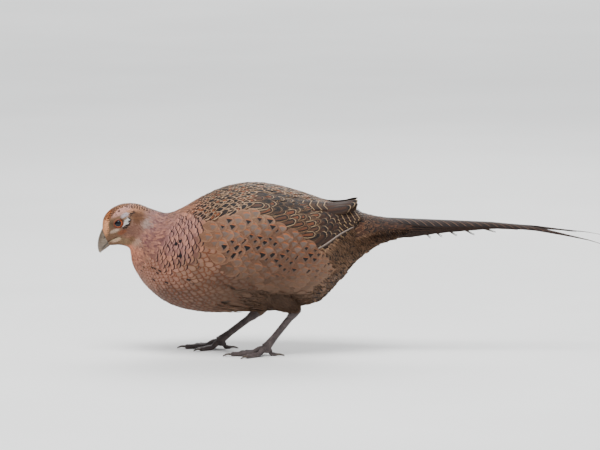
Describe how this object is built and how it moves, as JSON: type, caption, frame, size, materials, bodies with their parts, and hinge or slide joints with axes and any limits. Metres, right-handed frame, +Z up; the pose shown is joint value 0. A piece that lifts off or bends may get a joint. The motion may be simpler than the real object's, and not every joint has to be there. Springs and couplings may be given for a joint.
{
  "type": "common pheasant hen",
  "caption": "Life-size hen common pheasant walking low, head down to feed, folded wings and a long level tail.",
  "frame": {"origin": "on the floor, midway between the bill tip and the tail tip, on the bird's middle plane", "axes": "+X points to the head, +Y to the bird's left side, +Z up"},
  "size_m": [0.6, 0.1296, 0.1954],
  "materials": {
    "plumage": "soft matt body feathers",
    "quill_feathers": "satin flight and tail feathers",
    "bill_horn": "worn satin horn",
    "leg_scales": "dry satin scales",
    "claw_horn": "satin dark horn",
    "eye": "wet gloss"
  },
  "bodies": {
    "root": {"torso": "plumage", "neck": "plumage", "head": "plumage", "bill_upper": "bill_horn", "bill_lower": "bill_horn", "tail": "quill_feathers", "eye_left": "eye", "eye_right": "eye", "wing_left": "quill_feathers", "wing_right": "quill_feathers", "thigh_left": "plumage", "shank_left": "leg_scales", "foot_left": "leg_scales", "claw_left_inner": "claw_horn", "claw_left_middle": "claw_horn", "claw_left_outer": "claw_horn", "claw_left_hind": "claw_horn", "thigh_right": "plumage", "shank_right": "leg_scales", "foot_right": "leg_scales", "claw_right_inner": "claw_horn", "claw_right_middle": "claw_horn", "claw_right_outer": "claw_horn", "claw_right_hind": "claw_horn"}
  },
  "joints": []
}
